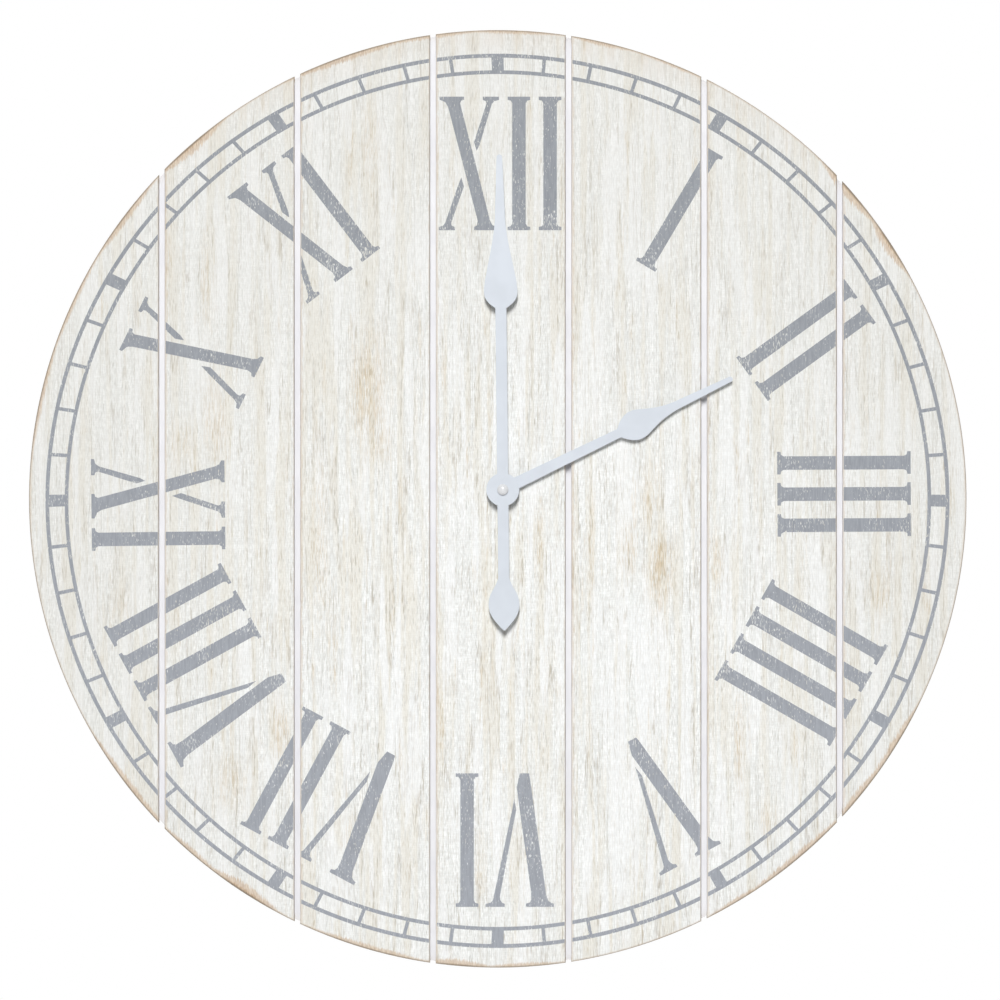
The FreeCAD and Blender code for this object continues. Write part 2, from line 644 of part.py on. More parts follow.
def add_battery():
    level, depth = "dims.cell_level", "dims.cell_depth"
    shoulder = "dims.cell_half - dims.cell_nub"
    can = bar("cell_can", "dims.cell_radius", ("-dims.cell_half + 0.4", shoulder + " - 0.5"), depth, level)
    ends = bar("cell_ends", "dims.cell_radius - 0.6", ("-dims.cell_half", shoulder), depth, level)
    sub_part(at_arbor(fuse("battery_cell", can, ends)), "battery_cell")
    disc = bar("cap_disc", "dims.cell_radius - 1.2", (shoulder, shoulder + " + 0.3"), depth, level)
    nub = bar("cap_nub", "dims.cell_nub_radius", (shoulder, "dims.cell_half"), depth, level)
    sub_part(at_arbor(fuse("battery_cap", disc, nub)), "battery_cap")


def add_contacts():
    """Sprung leaf at the battery's flat end, dimpled plate at its nub, each with a tab to the board."""
    leaf = ((-26.75, -27.5), (-26.35, -27.5), (-26.35, -26.5), (-25.5, -22.0), (-25.5, -19.5),
            (-25.9, -16.0), (-26.15, -16.1), (-25.8, -19.6), (-25.8, -22.0), (-26.35, -24.8),
            (-26.35, -14.0), (-26.75, -14.0))
    plate = polygon_body("negative_leaf", leaf, ("4.5", "13"))
    riser = box("negative_riser", ("-26.75", "-26.35"), ("8.4", "9"), ("-15", "-6.6"))
    foot = box("negative_foot", ("-26.75", "-25"), ("8.4", "9"), ("-7.6", "-6.6"))
    negative = fuse("battery_contact_negative", plate, riser, foot)
    sub_part(at_arbor(negative), "battery_contact_negative")
    plate = box("positive_plate", ("26.35", "26.75"), ("4.5", "13"), ("-27.5", "-14"))
    dimple = bar("positive_dimple", "2", ("25.5", "26.4"), "dims.cell_depth", "dims.cell_level")
    riser = box("positive_riser", ("26.35", "26.75"), ("8.4", "9"), ("-15", "-11.2"))
    strip = box("positive_strip", ("-17", "26.75"), ("8.4", "9"), ("-11.6", "-11.2"))
    positive = fuse("battery_contact_positive", plate, dimple, riser, strip)
    sub_part(at_arbor(positive), "battery_contact_positive")


# ---------------------------------------------------------------- fixing through the dial

def add_dial_fixing():
    front = "-dims.batten_deep - dims.board_thick - dims.plank_thick"
    end = "dims.bushing_end - dims.movement_front"
    barrel = rod("bushing_barrel", "dims.bushing_radius", (end, "1.2"))
    flange = rod("bushing_flange", "6.5", ("0.6", "1.2"))
    bore = rod("bushing_bore", "dims.hour_pipe + dims.running_gap", (end + " - 1", "3"))
    bushing = cut("threaded_bushing", fuse("bushing_blank", barrel, flange), bore)
    sub_part(at_arbor(bushing), "threaded_bushing")
    gasket = tube("rubber_gasket", "dims.gasket_radius", "dims.bushing_radius + 0.2",
                  ("-dims.gasket_thick", "0"))
    sub_part(at_arbor(gasket), "rubber_gasket")
    washer = tube("washer", "dims.washer_radius", "dims.bushing_radius + 0.15",
                  ("-dims.washer_thick", "0"))
    sub_part(at_arbor(washer, front), "washer")
    nut = new_body("hex_nut")
    sketch = face_sketch(nut, "nut_outline", "-dims.washer_thick - dims.nut_thick")
    reach = dim("nut_flats") / math.sqrt(3)
    angles = [math.radians(60 * k) for k in range(6)]
    corners = [Vector(reach * math.cos(angle), reach * math.sin(angle), 0) for angle in angles]
    for start, end in zip(corners, corners[1:] + corners[:1]):
        sketch.addGeometry(Part.LineSegment(start, end))
    pad_back(nut, sketch, "dims.nut_thick")
    through = ("-dims.washer_thick - dims.nut_thick - 1", "0")
    pocket_circle(nut, "nut_thread", "dims.bushing_radius", through)
    sub_part(at_arbor(nut, front), "hex_nut")


# ---------------------------------------------------------------- hands

def mirrored(points):
    return [Vector(-point.x, point.y, 0) for point in points]


def spline_pair(points):
    """A smooth edge through the points and its mirror image across the hand's middle line."""
    pair = []
    for side in (points, mirrored(points)):
        curve = Part.BSplineCurve()
        curve.interpolate(side)
        pair.append(curve)
    return pair


def line_pair(points):
    return [Part.LineSegment(*side) for side in (points, mirrored(points))]


def hand_tip(half, reach):
    """Rounded end of a hand, half as wide as it is across."""
    return Part.Arc(Vector(half, reach - half, 0), Vector(0, reach, 0), Vector(-half, reach - half, 0))


def add_hand(name, edges, back, sheet, angle, bore):
    """A flat hand with a round hub, stamped from sheet and turned to its place on the dial."""
    body = new_body(name)
    front = f"{back} - {sheet}"
    blade = face_sketch(body, name + "_blade", "0")
    blade.addGeometry(edges)
    pad_back(body, blade, sheet)
    pad_circle(body, name + "_hub", "dims.hub_radius", ("0", sheet))
    pocket_circle(body, name + "_bore", bore, ("-1", "2"))
    body.Placement = Placement(Vector(), Rotation(Vector(0, 1, 0), dim(angle)))
    sub_part(at_arbor(body, front), name)


def add_minute_hand():
    leaf = [Vector(0.9, -113.9, 0), Vector(6.4, -107.8, 0), Vector(11.3, -100.0, 0), Vector(12.5, -92.6, 0),
            Vector(10.2, -83.6, 0), Vector(6.6, -77.2, 0), Vector(4.5, -71.0, 0)]
    spade = [Vector(4.5, 147.3, 0), Vector(9.6, 151.2, 0), Vector(13.0, 156.4, 0), Vector(13.5, 162.6, 0),
             Vector(12.3, 171.8, 0), Vector(9.8, 184.2, 0), Vector(7.2, 196.7, 0), Vector(4.9, 211.3, 0),
             Vector(3.9, 228.0, 0)]
    tip = 2.3
    edges = spline_pair(leaf) + line_pair([leaf[-1], spade[0]]) + spline_pair(spade)
    edges += line_pair([spade[-1], Vector(tip, 271.8 - tip, 0)])
    edges.append(hand_tip(tip, 271.8))
    edges.append(Part.Arc(leaf[0], Vector(0, -114.3, 0), mirrored(leaf)[0]))
    add_hand("minute_hand", edges, "dims.minute_back", "dims.minute_sheet", "minute_angle",
             "dims.minute_shaft")


def add_hour_hand():
    spade = [Vector(3.7, 104.8, 0), Vector(8.6, 110.4, 0), Vector(11.7, 116.6, 0), Vector(12.1, 121.6, 0),
             Vector(9.7, 129.9, 0), Vector(6.6, 138.4, 0), Vector(4.3, 148.3, 0), Vector(3.3, 162.0, 0)]
    tip = 2.2
    root = Vector(5.0, -4.0, 0)
    edges = line_pair([root, spade[0]]) + spline_pair(spade)
    edges += line_pair([spade[-1], Vector(tip, 207.2 - tip, 0)])
    edges.append(hand_tip(tip, 207.2))
    edges.append(Part.LineSegment(mirrored([root])[0], root))
    add_hand("hour_hand", edges, "dims.hour_back", "dims.hour_sheet", "hour_angle", "4")


def add_hand_fittings():
    """Brass bushes that carry the hands, and the domed nut on the end of the minute arbor."""
    bush = tube("hour_hand_bush", "4", "dims.hour_pipe", ("-41.5", "-38.6"))
    sub_part(at_arbor(bush, "0"), "hour_hand_bush")
    bush = tube("minute_hand_bush", "3.4", "dims.minute_shaft", ("dims.minute_back", "-42.1"))
    sub_part(at_arbor(bush, "0"), "minute_hand_bush")
    profile = new_body("cap_nut")
    sketch = profile.newObject("Sketcher::SketchObject", "cap_section")
    plane = next(item for item in profile.Origin.OriginFeatures if item.Role == "XY_Plane")
    sketch.AttachmentSupport = [(plane, "")]
    sketch.MapMode = "FlatFace"
    radius, height = dim("cap_radius"), dim("minute_back") - dim("minute_sheet") - dim("cap_front")
    bore, depth, wall = dim("minute_shaft"), 2.0, 1.2
    start, rim, edge = Vector(bore, 0, 0), Vector(radius, 0, 0), Vector(radius, -wall, 0)
    top, bottom, inner = Vector(0, -height, 0), Vector(0, -depth, 0), Vector(bore, -depth, 0)
    rise = height - wall
    dome = (radius ** 2 + rise ** 2) / (2 * rise)
    half_turn = math.asin(radius / dome) / 2
    shoulder = Vector(dome * math.sin(half_turn), dome - height - dome * math.cos(half_turn), 0)
    sketch.addGeometry([Part.LineSegment(start, rim), Part.LineSegment(rim, edge),
                        Part.Arc(edge, shoulder, top), Part.LineSegment(top, bottom),
                        Part.LineSegment(bottom, inner), Part.LineSegment(inner, start)])
    turned = profile.newObject("PartDesign::Revolution", "cap_turned")
    turned.Profile = sketch
    turned.ReferenceAxis = (sketch, ["V_Axis"])
    turned.Angle = 360
    DOC.recompute()
    sub_part(at_arbor(profile, "dims.minute_back - dims.minute_sheet"), "cap_nut")


# ---------------------------------------------------------------- build and export

def build():
    fill_sheet()
    centres = train_centres()
    screw_holes = add_wood_screws()
    add_planks(screw_holes)
    add_backing_board(screw_holes)
    add_battens(screw_holes)
    add_keyhole_hanger(screw_holes)
    add_movement_housing(centres)
    add_back_cover(centres)
    add_motion_work(centres)
    add_going_train(centres)
    add_train_bridge(centres)
    machine_screws("bridge_screws", BRIDGE_POSTS, 0.45, 1.0, (8.2, 12.4))
    add_stator(centres)
    add_coil()
    machine_screws("stator_screws", STATOR_POSTS, 0.45, 0.95, (5.7, 10.0))
    add_circuit()
    add_battery()
    add_contacts()
    add_dial_fixing()
    add_hour_hand()
    add_minute_hand()
    add_hand_fittings()
    DOC.recompute()


def check():
    """Stops with a plain message if any object failed or any sub-part's shape is empty or invalid."""
    for item in DOC.Objects:
        if "Invalid" in item.State or "Error" in item.State:
            raise ValueError(f"{item.Name} failed: {item.State}")
    for piece in SUB_PARTS:
        if piece.Shape.isNull() or not piece.Shape.isValid() or not piece.Shape.Solids:
            raise ValueError(f"{piece.Label} has no valid solid")


def export():
    os.makedirs("parts", exist_ok=True)
    for piece in SUB_PARTS:
        piece.Shape.exportStep(f"parts/{piece.Label}.step")
        room = piece.Shape.BoundBox
        print(f"{piece.Label}: {len(piece.Shape.Solids)} solid(s), {piece.Shape.Volume:.2f} mm3, "
              f"x {room.XMin:.2f}..{room.XMax:.2f} y {room.YMin:.2f}..{room.YMax:.2f} "
              f"z {room.ZMin:.2f}..{room.ZMax:.2f}")


build()
check()
export()
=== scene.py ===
"""Looks of the round plank wall clock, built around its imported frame.

Blender works in metres here. The dial's own layout is written in millimetres about the dial's
centre, x to the viewer's right and z up, and at_dial() turns it into metres in the frame.
"""
import json
import math
import random

import bmesh
import bpy
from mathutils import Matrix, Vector
from mathutils.geometry import tessellate_polygon


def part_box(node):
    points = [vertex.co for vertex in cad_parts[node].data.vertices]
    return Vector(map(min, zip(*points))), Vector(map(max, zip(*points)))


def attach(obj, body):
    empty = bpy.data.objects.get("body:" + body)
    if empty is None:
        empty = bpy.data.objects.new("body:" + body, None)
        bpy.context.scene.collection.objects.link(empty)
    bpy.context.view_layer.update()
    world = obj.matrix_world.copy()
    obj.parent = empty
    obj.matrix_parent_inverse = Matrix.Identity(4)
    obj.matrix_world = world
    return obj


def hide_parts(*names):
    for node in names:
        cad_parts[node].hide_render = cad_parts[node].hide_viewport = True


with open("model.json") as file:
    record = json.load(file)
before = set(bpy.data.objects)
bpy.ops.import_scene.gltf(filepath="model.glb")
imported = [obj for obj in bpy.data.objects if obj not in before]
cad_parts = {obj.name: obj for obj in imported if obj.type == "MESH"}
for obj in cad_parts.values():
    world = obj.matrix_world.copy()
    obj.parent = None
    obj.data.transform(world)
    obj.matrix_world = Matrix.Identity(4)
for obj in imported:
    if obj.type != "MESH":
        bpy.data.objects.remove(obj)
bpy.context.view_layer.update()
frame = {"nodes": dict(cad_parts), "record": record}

MM = 0.001
PLANKS = 7
PITCH = 110.2               # plank pitch
MIDDLE = (PLANKS + 1) // 2  # number of the plank that the arbor passes
SHIFT = 2.4                 # the middle plank's place right of the dial's centre
GAP = 4.6                   # between two planks
RIM = 381.0                 # the dial's radius
plank_low, plank_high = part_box(f"plank_{MIDDLE}")
FRONT = plank_low.y / MM    # depth of the planks' front faces
BACK = plank_high.y / MM
BOARD_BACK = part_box("backing_board")[1].y / MM
CENTRE_Z = (plank_low.z + plank_high.z) / 2 / MM
ARBOR = (4.1, 7.5)          # the hands' axis on the dial
SHAFT_HOLE = 5.0            # radius of the hole that the arbor passes


def at_dial(x, depth, z):
    return Vector((x * MM, depth * MM, (z + CENTRE_Z) * MM))


# ---------------------------------------------------------------- material graphs

PATTERN_STEP = (31.7, 17.3, 11.9)       # from one noise's place to the next one's


class Graph:
    """One node material. Its coordinates are the object's own, in millimetres about the dial's centre."""

    def __init__(self, name):
        self.material = bpy.data.materials.new(name)
        self.material.use_nodes = True
        self.tree = self.material.node_tree
        self.tree.nodes.clear()
        self.shader = self.node("ShaderNodeBsdfPrincipled")
        output = self.node("ShaderNodeOutputMaterial")
        self.tree.links.new(self.shader.outputs["BSDF"], output.inputs["Surface"])
        self.seed = 0
        coords = self.node("ShaderNodeTexCoord")
        local = self.vector("MULTIPLY", coords.outputs["Object"], (1 / MM, 1 / MM, 1 / MM))
        self.point = self.vector("ADD", local, (0.0, 0.0, -CENTRE_Z))
        self.x, self.y, self.z = self.split(self.point)

    def node(self, kind, **settings):
        made = self.tree.nodes.new(kind)
        for name, value in settings.items():
            setattr(made, name, value)
        return made

    def feed(self, socket, value):
        if isinstance(value, bpy.types.NodeSocket):
            self.tree.links.new(value, socket)
        else:
            socket.default_value = value

    def vector(self, operation, a, b):
        made = self.node("ShaderNodeVectorMath", operation=operation)
        self.feed(made.inputs[0], a)
        self.feed(made.inputs[1], b)
        return made.outputs[0]

    def length(self, vector):
        made = self.node("ShaderNodeVectorMath", operation="LENGTH")
        self.feed(made.inputs[0], vector)
        return made.outputs["Value"]

    def split(self, vector):
        made = self.node("ShaderNodeSeparateXYZ")
        self.feed(made.inputs[0], vector)
        return made.outputs

    def join(self, x, y, z):
        made = self.node("ShaderNodeCombineXYZ")
        for socket, value in zip(made.inputs, (x, y, z)):
            self.feed(socket, value)
        return made.outputs[0]

    def math(self, operation, a, b=0.0, c=0.0):
        made = self.node("ShaderNodeMath", operation=operation)
        for socket, value in zip(made.inputs, (a, b, c)):
            self.feed(socket, value)
        return made.outputs[0]

    def add(self, a, b):
        return self.math("ADD", a, b)

    def minus(self, a, b):
        return self.math("SUBTRACT", a, b)

    def times(self, a, b):
        return self.math("MULTIPLY", a, b)

    def most(self, a, b):
        return self.math("MAXIMUM", a, b)

    def step(self, value, low, high, out_low=0.0, out_high=1.0):
        """Smooth step of a value between two limits."""
        made = self.node("ShaderNodeMapRange", interpolation_type="SMOOTHSTEP")
        for socket, each in zip(made.inputs[:5], (value, low, high, out_low, out_high)):
            self.feed(socket, each)
        return made.outputs[0]

    def mix(self, factor, a, b):
        made = self.node("ShaderNodeMix", data_type="RGBA")
        self.feed(made.inputs[0], factor)
        for socket, value in ((made.inputs[6], a), (made.inputs[7], b)):
            self.feed(socket, (*value, 1.0) if isinstance(value, tuple) else value)
        return made.outputs[2]

    def noise(self, vector, detail=3.0, roughness=0.5, distortion=0.0):
        """Noise whose features are about one unit of the vector wide; each call has its own pattern."""
        self.seed += 1
        shifted = self.vector("ADD", vector, tuple(self.seed * step for step in PATTERN_STEP))
        made = self.node("ShaderNodeTexNoise", noise_dimensions="3D")
        self.feed(made.inputs["Vector"], shifted)
        settings = {"Scale": 1.0, "Detail": detail, "Roughness": roughness, "Distortion": distortion}
        for name, value in settings.items():
            made.inputs[name].default_value = value
        return made.outputs["Fac"]

    def cells(self, vector, feature):
        made = self.node("ShaderNodeTexVoronoi", feature=feature)
        self.feed(made.inputs["Vector"], vector)
        made.inputs["Scale"].default_value = 1.0
        return made.outputs["Distance"]

    def scaled(self, x, y, z):
        return self.vector("MULTIPLY", self.point, (x, y, z))

    def finish(self, colour, roughness, height=None, relief=0.05, **fixed):
        """Feeds the shader. relief is the bump's height in millimetres, fixed are constant sockets."""
        self.feed(self.shader.inputs["Base Color"], colour)
        self.feed(self.shader.inputs["Roughness"], roughness)
        if height is not None:
            bump = self.node("ShaderNodeBump")
            bump.inputs["Strength"].default_value = 1.0
            bump.inputs["Distance"].default_value = relief * MM
            self.feed(bump.inputs["Height"], height)
            self.feed(self.shader.inputs["Normal"], bump.outputs["Normal"])
        for name, value in fixed.items():
            self.shader.inputs[name.replace("_", " ")].default_value = value
        return self.material


def srgb(red, green, blue):
    """A colour given as 0-255 display values, in the linear values that shaders take."""
    def linear(value):
        value /= 255
        return value / 12.92 if value <= 0.04045 else ((value + 0.055) / 1.055) ** 2.4
    return linear(red), linear(green), linear(blue)


# ---------------------------------------------------------------- whitewashed planks

PLANK_STEP = 53.7           # sideways through the noise from one plank to the next
LIT_CENTRE = (25.0, 0.0, -150.0)          # painted shade: the whitewash is drawn darker away from this point, standing in for the light's fall-off towards the rim and top
# Brown patches rubbed through the whitewash: x, z, half width, half height, strength
RUBBED = (
    (-104, 88, 18, 56, 0.75), (-96, 46, 14, 24, 0.50), (-230, 68, 11, 46, 0.68), (-258, 46, 12, 24, 0.50),
    (-145, -24, 8, 90, 0.45), (-145, -64, 9, 34, 0.40), (124, 0, 10, 34, 0.60), (132, -58, 12, 40, 0.78),
    (107, -42, 9, 26, 0.50), (178, -50, 6, 24, 0.65), (75, -45, 5, 60, 0.40), (-268, 190, 4, 46, 0.60),
    (-236, 176, 7, 50, 0.50), (-104, 282, 10, 48, 0.45), (-56, 305, 5, 40, 0.40), (34, -36, 5, 46, 0.45),
    (-47, -188, 7, 40, 0.50), (-177, -190, 9, 30, 0.65), (-218, -230, 16, 28, 0.50),
    (-307, -86, 9, 20, 0.40), (310, -76, 12, 24, 0.55), (196, -198, 5, 46, 0.55),
    (220, -262, 11, 20, 0.40), (-14, -300, 5, 30, 0.60), (-120, -278, 9, 28, 0.45),
    (123, -245, 5, 38, 0.40), (272, 190, 5, 40, 0.40), (52, 224, 3, 60, 0.40),
)
# Where the rim is knocked and worn brown: degrees clockwise from the top, degrees either way, strength
RIM_WEAR = (
    (2, 6, 0.40), (13, 4, 0.45), (22, 5, 0.30), (49, 5, 0.95), (57, 4, 1.0), (122, 6, 0.65),
    (129, 5, 0.70), (140, 8, 0.65), (149, 4, 0.45), (177, 5, 0.45), (185, 4, 0.75), (196, 8, 0.55),
    (213, 5, 1.0), (221, 5, 0.55), (232, 8, 0.60), (283, 8, 0.45), (295, 8, 0.40), (307, 6, 0.65),
    (319, 5, 0.95), (341, 8, 0.65), (352, 6, 0.45),
)


def rim_spot(degrees, spread, strength):
    """A RIM_WEAR entry in the form of a RUBBED one."""
    size = RIM * math.radians(spread)
    angle = math.radians(degrees)
    return RIM * math.sin(angle), RIM * math.cos(angle), size, size, strength


def spots(g, entries):
    """Soft oval spots: 0 away from them, rising to each one's strength at its middle."""
    spotted = 0.0
    for x, z, wide, tall, strength in entries:
        away = g.vector("SUBTRACT", g.point, (x, 0.0, z))
        away = g.length(g.vector("MULTIPLY", away, (1 / wide, 0.0, 1 / tall)))
        spotted = g.most(spotted, g.step(away, 1.45, 0.1, 0.0, strength))
    return spotted


def plank_wood(g):
    """Colour, roughness and height of the whitewashed wood, with its grain upright."""
    turns = g.add(g.times(g.x, 1 / PITCH), PLANKS / 2 - SHIFT / PITCH)
    number = g.math("FLOOR", turns)
    across = g.times(g.math("FRACT", turns), PITCH)
    aside = g.math("MULTIPLY_ADD", number, PLANK_STEP, g.y)
    base = g.join(g.x, aside, g.z)

    def grain(width, length, detail=2.0, roughness=0.5):
        return g.noise(g.vector("MULTIPLY", base, (1 / width, 1 / width, 1 / length)), detail, roughness)

    fine = grain(0.66, 4.6)
    lines = grain(0.85, 40.0)
    hairs = grain(0.70, 8.0, 1.0)
    dashes = grain(0.72, 8.0, 1.0)
    strokes = grain(0.70, 11.0, 2.0, 0.6)
    contour = g.math("ABSOLUTE", g.minus(grain(7.0, 170.0), 0.5))
    clusters = grain(5.0, 34.0)
    calm = g.step(grain(10.0, 120.0), 0.50, 0.62)
    medium = grain(4.0, 90.0, 3.0)
    bands = grain(9.0, 230.0)
    patches = grain(7.0, 80.0, 3.0, 0.6)
    cloud = grain(6.0, 46.0, 3.0)
    ragged = grain(0.9, 9.0, 3.0, 0.6)
    weave = g.noise(g.vector("MULTIPLY", base, (0.16, 0.16, 1.2)), 1.0)

    rubbed = spots(g, RUBBED)
    zone = g.step(g.add(g.times(bands, 0.75), g.times(medium, 0.25)), 0.46, 0.60)
    zone = g.times(zone, g.step(calm, 0.0, 1.0, 1.0, 0.25))
    scattered = g.times(g.step(patches, 0.56, 0.78), 0.50)
    bare = g.most(g.times(rubbed, g.step(cloud, 0.25, 0.65, 0.45, 1.0)), scattered)
    busy = g.times(g.step(clusters, 0.42, 0.60), g.step(calm, 0.0, 1.0, 1.0, 0.2))

    white = g.mix(g.step(lines, 0.34, 0.66), srgb(254, 255, 254), srgb(237, 239, 237))
    white = g.mix(g.times(g.step(fine, 0.42, 0.62), 0.74), white, srgb(216, 217, 214))
    white = g.mix(g.times(g.step(weave, 0.4, 0.6), 0.30), white, srgb(218, 217, 212))
    white = g.mix(g.times(zone, 0.46), white, srgb(227, 221, 206))
    white = g.mix(g.times(calm, 0.38), white, srgb(248, 249, 250))
    white = g.mix(g.times(bare, 0.34), white, srgb(226, 211, 182))
    hair = g.step(hairs, 0.60, 0.68)
    white = g.mix(g.times(hair, g.add(0.08, g.times(busy, 0.30))), white, srgb(150, 147, 140))
    vein = g.times(g.step(contour, 0.034, 0.0), g.step(dashes, 0.38, 0.58))
    white = g.mix(g.times(vein, g.add(0.22, g.times(busy, 0.34))), white, srgb(164, 152, 134))
    dash = g.step(g.add(dashes, g.times(bare, 0.10)), 0.59, 0.67)
    dark = g.add(g.times(zone, 0.20), g.times(bare, 0.60))
    white = g.mix(g.times(dash, g.add(0.10, dark)), white, srgb(176, 158, 124))
    stroke = g.step(g.add(strokes, g.times(bare, 0.16)), 0.55, 0.64)
    colour = g.mix(g.times(stroke, g.times(bare, 0.66)), white, srgb(203, 177, 132))
    # Painted shade: the wood turns greyer away from the lit centre, in place of the light falling off
    from_lit_centre = g.vector("SUBTRACT", g.point, LIT_CENTRE)
    from_lit_centre = g.length(g.vector("MULTIPLY", from_lit_centre, (1.15, 0.0, 1.0)))
    colour = g.mix(g.step(from_lit_centre, 110.0, 480.0, 0.0, 0.36), colour, srgb(206, 204, 197))
    colour = edge_wear_and_shade(g, colour, across, fine, medium, patches, ragged)

    height = g.add(g.times(fine, 0.5), g.add(g.times(dash, -0.3), g.times(strokes, 0.4)))
    roughness = g.step(g.add(bare, g.times(fine, 0.4)), 0.0, 1.0, 0.55, 0.80)
    return colour, roughness, height


def edge_wear_and_shade(g, colour, across, fine, medium, patches, ragged):
    """The wood's colour with the wear of the rim and of the long edges, a painted shade line beside each
    gap, and with bare wood on the sides.
    """
    inward = g.minus(RIM, g.length(g.scaled(1.0, 0.0, 1.0)))
    bumped = spots(g, [rim_spot(*entry) for entry in RIM_WEAR])
    reach = g.times(bumped, g.add(0.4, g.times(ragged, 13.0)))
    worn_rim = g.step(g.minus(inward, reach), 1.2, -1.2, 0.0, 0.66)
    thin_reach = g.times(ragged, g.add(0.6, g.times(bumped, 4.0)))
    thin_rim = g.step(g.minus(inward, thin_reach), 1.8, 0.2)
    worn_rim = g.most(worn_rim, g.times(thin_rim, g.add(0.36, g.times(bumped, 0.54))))
    upper = g.step(g.z, 200.0, 370.0, 0.0, 0.30)
    near = g.times(g.times(g.step(inward, 24.0, 2.0), upper), g.step(patches, 0.35, 0.65, 0.3, 1.0))
    colour = g.mix(near, colour, srgb(206, 190, 170))
    left = g.minus(across, g.times(g.step(ragged, 0.3, 0.7), 1.8))
    worn_left = g.step(left, GAP / 2 + 1.4, GAP / 2 + 0.6)
    right = g.minus(PITCH, across)
    worn_right = g.minus(right, g.times(g.step(ragged, 0.4, 0.7), 1.4))
    worn_right = g.step(worn_right, GAP / 2 + 0.9, GAP / 2)
    worn = g.most(worn_rim, g.most(g.times(worn_left, 0.32), g.times(worn_right, 0.30)))
    brown = g.mix(g.step(fine, 0.35, 0.65), srgb(178, 146, 112), srgb(218, 196, 168))
    colour = g.mix(worn, colour, brown)
    # Painted shade: a dark line along each plank's right edge, where the gap's shadow falls, joined with
    # the rim's dark line that is stronger at the knocked spots
    gap_shade_and_rim_line = g.step(right, GAP / 2 + 1.0, GAP / 2 + 0.5, 0.0, 0.55)
    dark_rim = g.step(g.minus(inward, g.times(bumped, 0.9)), 1.2, 0.3)
    gap_shade_and_rim_line = g.most(gap_shade_and_rim_line, g.times(dark_rim, g.add(0.38, g.times(bumped, 0.46))))
    colour = g.mix(gap_shade_and_rim_line, colour, srgb(134, 121, 106))
    side = g.step(g.y, FRONT + 0.35, FRONT + 0.7)
    raw = g.mix(g.step(medium, 0.4, 0.6), srgb(186, 160, 128), srgb(210, 192, 164))
    raw = g.mix(g.step(inward, 3.0, 6.0), raw, srgb(232, 230, 232))
    colour = g.mix(g.times(side, 0.9), colour, raw)
    return colour


def plank_material():
    g = Graph("whitewashed_planks")
    colour, roughness, height = plank_wood(g)
    return g.finish(colour, roughness, height, 0.10, Specular_IOR_Level=0.25)


def paint_material():
    """Grey stencil paint, worn through to the wood in small upright flecks."""
    g = Graph("stencil_paint")
    wood, _, height = plank_wood(g)
    fleck = g.noise(g.scaled(1.45, 1.45, 0.30), 1.0)
    where = g.noise(g.scaled(0.05, 0.05, 0.04), 2.0)
    inner_end = g.step(g.length(g.scaled(1.0, 0.0, 1.0)), 265.0, 222.0, 0.0, 0.04)
    worn = g.step(g.add(g.add(fleck, inner_end), g.times(where, 0.36)), 0.835, 0.875)
    tone = g.noise(g.scaled(0.9, 0.9, 0.12), 3.0)
    # Painted shade: the grey is drawn darker towards the top of the dial
    shade_towards_top = g.step(g.z, -300.0, 300.0)
    dark = g.mix(shade_towards_top, srgb(150, 154, 161), srgb(140, 144, 150))
    light = g.mix(shade_towards_top, srgb(162, 166, 174), srgb(152, 156, 162))
    grey = g.mix(g.step(tone, 0.3, 0.7), dark, light)
    colour = g.mix(g.times(worn, 0.85), grey, wood)
    return g.finish(colour, g.step(fleck, 0.3, 0.8, 0.5, 0.7), height, 0.06, Specular_IOR_Level=0.3)


# ---------------------------------------------------------------- other materials

def speckled(name, dark, light, rough, grain, relief, metallic=0.0, stretch=(1.0, 1.0, 1.0), **fixed):
    """A finish that varies between two tones in a fine noise, which also sets its roughness and relief.

    grain is the noise's size and relief the bump's height, both in millimetres.
    """
    g = Graph(name)
    fine = g.noise(g.scaled(*(each / grain for each in stretch)), 3.0, 0.6)
    coarse = g.noise(g.scaled(*(each / (12 * grain) for each in stretch)), 2.0)
    tone = g.add(g.times(fine, 0.6), g.times(coarse, 0.4))
    colour = g.mix(g.step(tone, 0.35, 0.65), srgb(*dark), srgb(*light))
    roughness = g.step(tone, 0.3, 0.7, *rough)
    g.shader.inputs["Metallic"].default_value = metallic
    return g.finish(colour, roughness, fine, relief, **fixed)


def pine_material():
    g = Graph("bare_pine")
    rings = g.noise(g.scaled(0.012, 0.28, 0.28), 2.0, 0.5, 0.6)
    bands = g.math("FRACT", g.times(rings, 9.0))
    late = g.step(g.math("ABSOLUTE", g.minus(bands, 0.5)), 0.20, 0.48)
    fibres = g.noise(g.scaled(0.06, 1.6, 1.6), 3.0, 0.6)
    colour = g.mix(late, srgb(226, 200, 156), srgb(198, 160, 108))
    colour = g.mix(g.times(g.step(fibres, 0.45, 0.7), 0.35), colour, srgb(180, 140, 92))
    return g.finish(colour, g.step(fibres, 0.3, 0.7, 0.5, 0.7), fibres, 0.06, Specular_IOR_Level=0.3)


def board_material():
    """Fibreboard, painted white on its front and rim and bare behind."""
    g = Graph("painted_fibreboard")
    orange_peel = g.noise(g.scaled(0.9, 0.9, 0.9), 2.0)
    fine = g.noise(g.scaled(3.0, 3.0, 3.0), 2.0)
    dust = g.noise(g.scaled(0.04, 0.04, 0.04), 3.0)
    white = g.mix(g.step(dust, 0.35, 0.7), srgb(229, 229, 231), srgb(223, 223, 226))
    fibres = g.noise(g.scaled(1.6, 1.6, 1.6), 4.0, 0.7, 1.2)
    bare = g.mix(g.step(fibres, 0.35, 0.65), srgb(158, 124, 88), srgb(188, 154, 116))
    bare = g.mix(g.step(dust, 0.3, 0.7, 0.0, 0.35), bare, srgb(196, 166, 130))
    behind = g.step(g.y, BOARD_BACK - 0.25, BOARD_BACK - 0.05)
    colour = g.mix(behind, white, bare)
    relief = g.add(g.times(orange_peel, 0.5), g.times(fibres, 0.5))
    return g.finish(colour, g.step(fine, 0.3, 0.7, 0.5, 0.75), relief, 0.04, Specular_IOR_Level=0.3)


